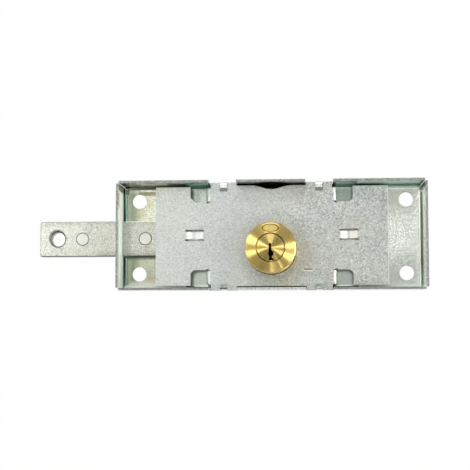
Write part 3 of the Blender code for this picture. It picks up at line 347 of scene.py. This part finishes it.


# hot-dip galvanised sheet: dull grey zinc whose fine crystals sparkle light and dark.
# The crystals are drawn half a millimetre wide, coarser than they are, so that they show.
# Painted light: the sheet is lighter to the left and darker to the right, with a painted shadow round the
# cylinder, painted shade in the slit along the lower wall, and one small crease drawn in painted light and shade.
galvanised = {
    "pale": "#fdfffe", "dark": "#858b8b", "toneRange": (0.15, 0.85),
    "crystal": 0.55, "speck": 0.75, "speckRange": (0.3, 0.7), "speckShare": 0.55,
    "lilac": "#e0dfee", "lilacFrom": 0.6, "lilacShare": 0.5,
    "straw": "#e2dfcf", "strawTo": 0.35, "strawShare": 0.4,
    "cloud": 24.0, "cloudRange": (0.45, 0.7), "cloudShare": 0.3,
    "pit": 0.9, "pitSeed": 2.1, "pitRange": (0.33, 0.43), "pitShare": 0.0, "pitColour": "#6d6f66",
    "roughness": (0.36, 0.56), "depth": 0.03,
    "tints": (
        # painted light: lighter to the left, darker to the right and middle, and a painted shadow ringing the cylinder
        tint("#dde1e0", 0.5, 16.0, x=(-70.0, -2.0)),
        tint("#a4a6a2", 0.15, 8.0, x=(16.0, 62.0)),
        tint("#a4a6a2", 0.13, 8.0, x=(-32.0, 30.0)),
        tint("#8a8d88", 0.35, 4.0, around=(2.5, -8.0), ring=(-20.0, 17.0)),
        # a bluish lug, the crease as a painted shade line and a painted highlight line, the right end's painted
        # highlight and the slit's painted shade
        tint("#d0e2e8", 0.45, 0.5, x=(22.3, 25.7), y=(-24.9, -22.2)),
        tint("#6b6e6a", 0.9, 0.15, x=(16.4, 20.6), y=(-17.3, -16.7)),
        tint("#ffffff", 0.8, 0.12, x=(16.4, 20.6), y=(-17.75, -17.4)),
        tint("#ffffff", 0.7, 0.1, x=(58.5, 60.0)),
        tint("#26292a", 1.0, 0.1, x=(-17.6, 17.6), y=(-27.0, -25.4)),
        # shade at the upper lugs and in the slits of the bridges
        tint("#6b7068", 0.7, 0.2, x=(-26.2, -22.2), y=(22.7, 24.6)),
        tint("#6b7068", 0.7, 0.2, x=(22.2, 26.2), y=(22.7, 24.6)),
        tint("#474c4a", 0.8, 0.1, x=(-43.8, -34.2), y=(2.4, 3.25)),
        tint("#474c4a", 0.8, 0.1, x=(-43.8, -34.2), y=(-2.45, -1.6)),
        tint("#474c4a", 0.8, 0.1, x=(34.2, 43.8), y=(2.4, 3.25)),
        tint("#474c4a", 0.8, 0.1, x=(34.2, 43.8), y=(-2.45, -1.6)),
    ),
}

# plated bar: the same zinc, finer and smoother on the bolt, with small dull pits, and painted light: painted shade
# along its edges and the tip's end, a lighter tip, the wall's painted shadow, a painted highlight and painted shade
# round the pins and the padlock hole
platedBar = dict(
    galvanised, pale="#f3f4ec", dark="#b0b1a5", lilac="#e8e8e2", straw="#ebe9da", crystal=0.5, speck=0.7,
    cloud=14.0, pitShare=0.45, pitColour="#7c7d72", roughness=(0.26, 0.4), depth=0.015,
    tints=(
        # painted shade along both edges, dark painted lines at them and at the tip's end, and painted light on the tip
        tint("#85867b", 0.4, 1.6, x=(-90.0, -40.0), y=(-12.0, -7.5)),
        tint("#95968c", 0.35, 1.2, x=(-200.0, -40.0), y=(6.8, 12.0)),
        tint("#ffffff", 0.2, 3.0, x=(-200.0, -96.0), y=(-7.0, 6.5)),
        tint("#55574f", 0.8, 0.15, x=(-200.0, -40.0), y=(-12.0, -9.35)),
        tint("#6b6d64", 0.4, 0.15, x=(-200.0, -40.0), y=(7.9, 12.0)),
        tint("#55574f", 0.6, 0.15, x=(-200.0, -118.8)),
        # the wall's painted shadow where the bolt passes it, and a painted highlight along its upper edge
        tint("#8f968a", 0.55, 1.2, x=(-79.0, -72.8)),
        tint("#ffffff", 0.9, 0.15, x=(-74.5, -50.0), y=(7.75, 8.3)),
        # painted shade in the gaps round the pins, and a crescent of it at the padlock hole's rim
        tint("#5f6159", 0.9, 0.12, around=(-97.1, -0.8), ring=(2.8, 3.4)),
        tint("#5f6159", 0.9, 0.12, around=(-64.7, -0.8), ring=(2.8, 3.4)),
        tint("#77756a", 0.8, 0.4, around=(-110.4, -0.1), ring=(-9.0, 4.3)),
    ),
)

# bridges: the zinc drawn pale and even, a painted sheen for the light that their pressed strips reflect
bridgePaintedSheen = dict(
    galvanised, pale="#e9eded", dark="#d2d7d5", lilac="#e2e2e8", straw="#e6e4dc", roughness=(0.45, 0.5), depth=0.004,
    tints=())


def galvanisedMaterial(name, look):
    material, tree, shader = newMaterial(name)
    place = addNode(tree, "ShaderNodeTexCoord").outputs["Object"]
    crystal = addNode(tree, "ShaderNodeTexVoronoi", {"Vector": place, "Scale": perMm(look["crystal"])})
    crystal = addNode(tree, "ShaderNodeSeparateColor", {"Color": crystal.outputs["Color"]})
    level, hue = crystal.outputs[0], crystal.outputs[1]
    speck = addNode(tree, "ShaderNodeTexNoise", {
        "Vector": place, "Scale": perMm(look["speck"]), "Detail": 3.0, "Roughness": 0.65}).outputs["Fac"]
    cloud = addNode(tree, "ShaderNodeTexNoise", {
        "Vector": place, "Scale": perMm(look["cloud"]), "Detail": 2.0}).outputs["Fac"]

    specked = addNode(tree, "ShaderNodeMapRange", {
        "Value": speck, "From Min": look["speckRange"][0], "From Max": look["speckRange"][1]}).outputs[0]
    tone = addNode(tree, "ShaderNodeMapRange", {
        "Value": layered(tree, level, (look["speckShare"], specked)),
        "From Min": look["toneRange"][0], "From Max": look["toneRange"][1]}).outputs[0]
    lilac = addNode(tree, "ShaderNodeMapRange", {
        "Value": hue, "From Min": look["lilacFrom"], "To Max": look["lilacShare"]}).outputs[0]
    straw = addNode(tree, "ShaderNodeMapRange", {
        "Value": hue, "From Max": look["strawTo"], "To Min": look["strawShare"], "To Max": 0.0}).outputs[0]
    clouded = addNode(tree, "ShaderNodeMapRange", {
        "Value": cloud, "From Min": look["cloudRange"][0], "From Max": look["cloudRange"][1],
        "To Max": look["cloudShare"]}).outputs[0]
    base = layered(tree, look["dark"], (tone, look["pale"]), (lilac, look["lilac"]), (straw, look["straw"]),
                   (clouded, look["straw"]))
    if look["pitShare"]:
        pitted = addNode(tree, "ShaderNodeTexNoise", {
            "noise_dimensions": "4D", "Vector": place, "W": look["pitSeed"], "Scale": perMm(look["pit"]),
            "Detail": 2.0}).outputs["Fac"]
        pitted = addNode(tree, "ShaderNodeMapRange", {
            "Value": pitted, "From Min": look["pitRange"][0], "From Max": look["pitRange"][1],
            "To Min": look["pitShare"], "To Max": 0.0}).outputs[0]
        base = layered(tree, base, (pitted, look["pitColour"]))
    for patch in look["tints"]:
        base = layered(tree, base, (tintMask(tree, place, patch), patch["colour"]))
    rough = addNode(tree, "ShaderNodeMapRange", {
        "Value": level, "To Min": look["roughness"][0], "To Max": look["roughness"][1]})
    bump = addNode(tree, "ShaderNodeBump", {"Strength": 1.0, "Distance": look["depth"] * mm, "Height": speck})
    setUp(tree, shader, {
        "Base Color": base, "Roughness": rough.outputs[0], "Metallic": 1.0, "Normal": bump.outputs[0]})
    return material


# sheared sheet edge: bare grey steel with the shear's fine tears across it
shearedEdge = {
    "base": "#bbbdb8", "dark": "#70736f", "tear": 0.9, "tearRange": (0.35, 0.7), "roughness": 0.5, "depth": 0.02,
}


def shearedMaterial(name, look):
    material, tree, shader = newMaterial(name)
    place = addNode(tree, "ShaderNodeTexCoord").outputs["Object"]
    tear = addNode(tree, "ShaderNodeTexNoise", {
        "Vector": place, "Scale": perMm(look["tear"]), "Detail": 3.0, "Roughness": 0.6}).outputs["Fac"]
    torn = addNode(tree, "ShaderNodeMapRange", {
        "Value": tear, "From Min": look["tearRange"][0], "From Max": look["tearRange"][1]}).outputs[0]
    bump = addNode(tree, "ShaderNodeBump", {"Strength": 1.0, "Distance": look["depth"] * mm, "Height": tear})
    setUp(tree, shader, {
        "Base Color": layered(tree, look["base"], (torn, look["dark"])), "Metallic": 1.0,
        "Roughness": look["roughness"], "Normal": bump.outputs[0]})
    return material


# free-turning brass: yellow, with the tool's fine grooves that fan the light out across them.
# The grooves are drawn a third of a millimetre wide, coarser than they are, so that they show.
turnedBrass = {
    "base": "#f4d889", "ring": "#dbb35b", "ringShare": 0.6, "axis": (0.0, -6.9, 0.0), "groove": 0.35, "tilt": 0.3,
    "lean": 0.2, "roughness": 0.26, "anisotropy": 1.0,
}


def brassMaterial(name, look):
    material, tree, shader = newMaterial(name)
    place = addNode(tree, "ShaderNodeTexCoord").outputs["Object"]
    centred = addNode(tree, "ShaderNodeMapping", {"Vector": place, "Location": [-part * mm for part in look["axis"]]})
    flat = addNode(tree, "ShaderNodeVectorMath", {
        "operation": "MULTIPLY", 0: centred.outputs[0], 1: (1, 1, 0)}).outputs[0]
    radius = addNode(tree, "ShaderNodeVectorMath", {"operation": "LENGTH", 0: flat}).outputs["Value"]
    rings = addNode(tree, "ShaderNodeTexNoise", {
        "noise_dimensions": "1D", "W": radius, "Scale": perMm(look["groove"]), "Detail": 3.0,
        "Roughness": 0.7}).outputs["Fac"]
    ringed = addNode(tree, "ShaderNodeMapRange", {
        "Value": rings, **noiseMiddle, "To Max": look["ringShare"]}).outputs[0]

    outward = addNode(tree, "ShaderNodeVectorMath", {"operation": "NORMALIZE", 0: flat}).outputs[0]
    across = addNode(tree, "ShaderNodeVectorTransform", {  # the light fans out across the grooves, outwards
        "vector_type": "VECTOR", "convert_from": "OBJECT", "convert_to": "WORLD", "Vector": outward}).outputs[0]
    tilt = addNode(tree, "ShaderNodeMapRange", {
        "Value": rings, "To Min": look["lean"] - look["tilt"], "To Max": look["lean"] + look["tilt"]}).outputs[0]
    lean = addNode(tree, "ShaderNodeVectorMath", {"operation": "SCALE", 0: across, "Scale": tilt}).outputs[0]
    facing = addNode(tree, "ShaderNodeNewGeometry").outputs["Normal"]
    tilted = addNode(tree, "ShaderNodeVectorMath", {"operation": "ADD", 0: facing, 1: lean}).outputs[0]
    tilted = addNode(tree, "ShaderNodeVectorMath", {"operation": "NORMALIZE", 0: tilted}).outputs[0]
    setUp(tree, shader, {
        "Base Color": layered(tree, look["base"], (ringed, look["ring"])), "Metallic": 1.0,
        "Roughness": look["roughness"], "Anisotropic": look["anisotropy"], "Tangent": across, "Normal": tilted})
    return material


# struck brass: a matt, finely stippled ground that scatters the light evenly
stippledBrass = {
    "base": "#f2df96", "dark": "#d9b96c", "dot": 0.3, "dotRange": (0.35, 0.75), "roughness": 0.45, "depth": 0.01,
    "edge": "#7d5c22", "edgeRange": (0.8, 0.9), "centre": (0.0, 2.7, 0.0), "half": (4.2, 2.0, 1000.0),
}


def stippledMaterial(name, look):
    material, tree, shader = newMaterial(name)
    place = addNode(tree, "ShaderNodeTexCoord").outputs["Object"]
    dots = addNode(tree, "ShaderNodeTexVoronoi", {"Vector": place, "Scale": perMm(look["dot"])}).outputs["Distance"]
    dotted = addNode(tree, "ShaderNodeMapRange", {
        "Value": dots, "From Min": look["dotRange"][0], "From Max": look["dotRange"][1]}).outputs[0]
    out = addNode(tree, "ShaderNodeVectorMath", {
        "operation": "SUBTRACT", 0: place, 1: [part * mm for part in look["centre"]]}).outputs[0]
    out = addNode(tree, "ShaderNodeVectorMath", {
        "operation": "DIVIDE", 0: out, 1: [part * mm for part in look["half"]]}).outputs[0]
    out = addNode(tree, "ShaderNodeVectorMath", {"operation": "LENGTH", 0: out}).outputs["Value"]
    nearEdge = addNode(tree, "ShaderNodeMapRange", {
        "Value": out, "From Min": look["edgeRange"][0], "From Max": look["edgeRange"][1]}).outputs[0]
    bump = addNode(tree, "ShaderNodeBump", {"Strength": 1.0, "Distance": look["depth"] * mm, "Height": dots})
    setUp(tree, shader, {
        "Base Color": layered(tree, look["base"], (dotted, look["dark"]), (nearEdge, look["edge"])), "Metallic": 1.0,
        "Roughness": look["roughness"], "Normal": bump.outputs[0]})
    return material


# keyway: brass walls painted nearly black with a faint smear, painted shade that lets no light back out of the deep
# slot
keywayPaintedShade = {"base": "#2b2013", "shine": "#4a3518", "smear": 1.5, "roughness": (0.55, 0.4), "metal": 0.3}


def keywayShadeMaterial(name, look):
    material, tree, shader = newMaterial(name)
    place = addNode(tree, "ShaderNodeTexCoord").outputs["Object"]
    smear = addNode(tree, "ShaderNodeTexNoise", {
        "Vector": place, "Scale": perMm(look["smear"]), "Detail": 2.0}).outputs["Fac"]
    smeared = addNode(tree, "ShaderNodeMapRange", {"Value": smear, **noiseMiddle}).outputs[0]
    rough = addNode(tree, "ShaderNodeMapRange", {
        "Value": smear, **noiseMiddle, "To Min": look["roughness"][0], "To Max": look["roughness"][1]}).outputs[0]
    setUp(tree, shader, {
        "Base Color": layered(tree, look["base"], (smeared, look["shine"])), "Roughness": rough,
        "Metallic": look["metal"]})
    return material


zinc = zincMaterial("passivatedZinc", zincFilmAndPaintedLight)
galvanisedSheet = galvanisedMaterial("galvanisedSheet", galvanised)
boltZinc = galvanisedMaterial("platedBar", platedBar)
bridgeSheenMaterial = galvanisedMaterial("bridgePaintedSheen", bridgePaintedSheen)
sheared = shearedMaterial("shearedSteel", shearedEdge)
paleEdge = shearedMaterial("paleShearedSteel", dict(shearedEdge, base="#dfe1dd", dark="#a9aca8"))
dullEdge = shearedMaterial("dullShearedSteel", dict(shearedEdge, base="#a9aba7", dark="#6c6f6c"))
brass = brassMaterial("turnedBrass", turnedBrass)
plugBrass = brassMaterial("turnedPlugBrass", dict(turnedBrass, base="#dfc77e", ring="#c2a25a"))
stippled = stippledMaterial("stippledBrass", stippledBrass)
keywayShade = keywayShadeMaterial("keywayPaintedShade", keywayPaintedShade)
pinSteel = zincMaterial("groundPinSteel", dict(
    zincFilmAndPaintedLight, plain="#f1f1ec", straw="#f1f1ec", mint="#e9ebe4", pale="#f1f1ec", tan="#e0ded4",
    roughness=(0.3, 0.4), tints=()))
print("materials ready")


softening = {  # small bevels that catch the light: sizes in mm, angles in degrees
    "mergeWithin": 0.002,
    "flatWithin": 0.5,
    "bevelOver": 40.0,
    "segments": 2,
    "sharpOver": 35.0,
}


def softCopy(nodeName, pieceName, edgeWidth, reshape=None):
    shape = bmesh.new()
    shape.from_mesh(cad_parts[nodeName].data)
    bmesh.ops.remove_doubles(shape, verts=shape.verts, dist=softening["mergeWithin"] * mm)
    if reshape:
        for corner in shape.verts:
            reshape(corner)
    bmesh.ops.dissolve_limit(shape, angle_limit=math.radians(softening["flatWithin"]), verts=shape.verts,
                             edges=shape.edges)
    bevelOver = math.radians(softening["bevelOver"])
    corners = [edge for edge in shape.edges if len(edge.link_faces) == 2 and edge.calc_face_angle(0) > bevelOver]
    bmesh.ops.bevel(shape, geom=corners, offset=edgeWidth * mm, affect="EDGES", segments=softening["segments"],
                    profile=0.5, material=-1, clamp_overlap=True)
    mesh = bpy.data.meshes.new(pieceName)
    shape.to_mesh(mesh)
    shape.free()
    mesh.shade_smooth()
    mesh.set_sharp_from_angle(angle=math.radians(softening["sharpOver"]))
    piece = bpy.data.objects.new(pieceName, mesh)
    scene.collection.objects.link(piece)
    flatten = piece.modifiers.new("flatFaces", "WEIGHTED_NORMAL")  # keeps the sheet's faces flat between their edges
    flatten.keep_sharp = True
    piece.data = bpy.data.meshes.new_from_object(piece.evaluated_get(bpy.context.evaluated_depsgraph_get()))
    piece.modifiers.clear()
    return piece


def dress(piece, body, material, slot, *nodes):
    piece.data.materials.clear()
    piece.data.materials.append(material)
    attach(piece, body)
    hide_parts(*nodes)
    return piece


def coatFaces(piece, material, chosen):  # another finish on the faces whose centre, in mm, is a chosen one
    piece.data.materials.append(material)
    index = len(piece.data.materials) - 1
    for face in piece.data.polygons:
        if chosen(face.center / mm):
            face.material_index = index


# the folded case: its end walls stand a little open, and its sheared rim is paler beside the slit
caseTray = {
    "edge": 0.15,
    "springBack": 0.9,  # degrees
    "wallInside": 74.8,
    "opensAbove": 3.0,
    "rimBand": 0.2,
    "lowerWall": -26.0,
    "slitHalf": 18.0,
}


def openEndWalls(corner):
    risen = corner.co.z - caseTray["opensAbove"] * mm
    if risen > 0 and abs(corner.co.x) > caseTray["wallInside"] * mm:
        corner.co.x += math.copysign(risen * math.tan(math.radians(caseTray["springBack"])), corner.co.x)


def onRim(centre):
    return centre.z > rimHeight - caseTray["rimBand"]


def onLowerRim(centre):
    return onRim(centre) and centre.y < caseTray["lowerWall"]


tray = softCopy("case_tray", "caseTray", caseTray["edge"], openEndWalls)
dress(tray, "case", zinc, "passivated_steel", "case_tray")
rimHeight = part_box("case_tray")[1][2] / mm
coatFaces(tray, sheared, onRim)
coatFaces(tray, dullEdge, lambda centre: onLowerRim(centre) and abs(centre.x) > caseTray["slitHalf"])
coatFaces(tray, paleEdge, lambda centre: onLowerRim(centre) and abs(centre.x) < caseTray["slitHalf"])

# the cover plate, with a painted sheen on its two bridges
coverPlate = {"edge": 0.18, "bridgeX": 39.0, "bridgeHalfLength": 4.5, "bridgeY": 0.4, "bridgeHalfWidth": 1.9}


def onBridge(centre):
    along = abs(abs(centre.x) - coverPlate["bridgeX"])
    across = abs(centre.y - coverPlate["bridgeY"])
    return along < coverPlate["bridgeHalfLength"] and across < coverPlate["bridgeHalfWidth"]


cover = softCopy("cover_plate", "coverPlate", coverPlate["edge"])
dress(cover, "case", galvanisedSheet, "galvanised_steel", "cover_plate")
coatFaces(cover, bridgeSheenMaterial, onBridge)

# the bolt and its two hardened pins
boltBar = {"edge": 0.1, "pinEdge": 0.12}
dress(softCopy("bolt_bar", "boltBar", boltBar["edge"]), "bolt", boltZinc, "bolt_steel", "bolt_bar")
for number in (1, 2):
    node = f"bolt_pin_{number}"
    dress(softCopy(node, f"boltPin{number}", boltBar["pinEdge"]), "bolt", pinSteel, "hard_steel", node)

# the cylinder, with its bare oval field
cylinderBody = {"edge": 0.08, "fieldCentre": (0.0, 2.7), "fieldHalf": (4.3, 2.1), "fieldDepth": (25.7, 25.9)}


def inField(centre):
    x, y = cylinderBody["fieldCentre"]
    halfWidth, halfHeight = cylinderBody["fieldHalf"]
    low, high = cylinderBody["fieldDepth"]
    return ((centre.x - x) / halfWidth) ** 2 + ((centre.y - y) / halfHeight) ** 2 < 1 and low < centre.z < high


cylinder = softCopy("cylinder_body", "cylinderBody", cylinderBody["edge"])
dress(cylinder, "case", brass, "turned_brass", "cylinder_body")
coatFaces(cylinder, stippled, inField)

# the plug, with its keyway
keyPlug = {"edge": 0.08, "axisY": -6.9, "keywayReach": 6.7, "keywayBack": 10.0, "keywayFront": 25.3}


def inKeyway(centre):
    out = math.hypot(centre.x, centre.y - keyPlug["axisY"])
    return out < keyPlug["keywayReach"] and keyPlug["keywayBack"] < centre.z < keyPlug["keywayFront"]


plug = softCopy("plug", "keyPlug", keyPlug["edge"])
dress(plug, "plug", plugBrass, "turned_brass", "plug")
coatFaces(plug, keywayShade, inKeyway)
print("pieces dressed")

# pieces inside the lock keep their solids and only get their metal
insideMetals = {
    brass: ("key_pin", "chamber_cap"),
    pinSteel: ("driver_pin", "pin_spring", "cylinder_screw", "plug_screw", "guide_post", "drive_pinion"),
}
for material, starts in insideMetals.items():
    for name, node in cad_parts.items():
        if name.startswith(starts):
            for slot in node.material_slots:
                slot.material = material
print("inside metals set")
